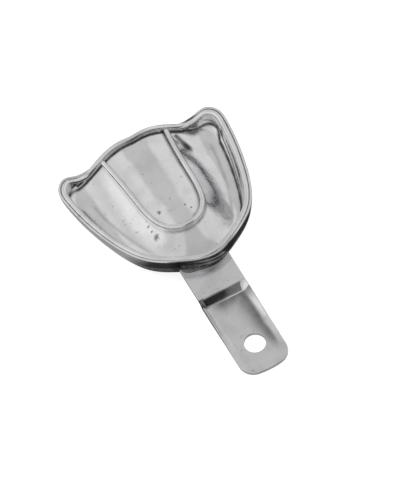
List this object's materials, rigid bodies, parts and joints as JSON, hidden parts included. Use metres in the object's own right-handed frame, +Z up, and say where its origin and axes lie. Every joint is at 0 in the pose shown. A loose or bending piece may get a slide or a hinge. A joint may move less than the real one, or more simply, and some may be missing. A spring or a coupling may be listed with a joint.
{
  "type": "impression tray",
  "caption": "Upper dental impression tray: stamped pan with a beaded rim, a soldered palate wire and a stepped strip handle with a hanging hole.",
  "frame": {"origin": "centre of the whole tray's footprint, on the surface it stands on", "axes": "+Z up out of the hollow side, -Y along the handle, +X to the right seen from the handle"},
  "size_m": [0.07, 0.1112, 0.0128],
  "materials": {
    "pan_steel": "mirror-polished stainless steel with fine handling scratches",
    "wire_steel": "polished stainless steel wire",
    "handle_steel": "pressed stainless strip with a satin polish",
    "solder": "polished silver solder"
  },
  "bodies": {
    "root": {"tray_pan": "pan_steel", "rim_wire": "wire_steel", "palate_wire": "wire_steel", "handle": "handle_steel", "handle_solder": "solder"}
  },
  "joints": []
}
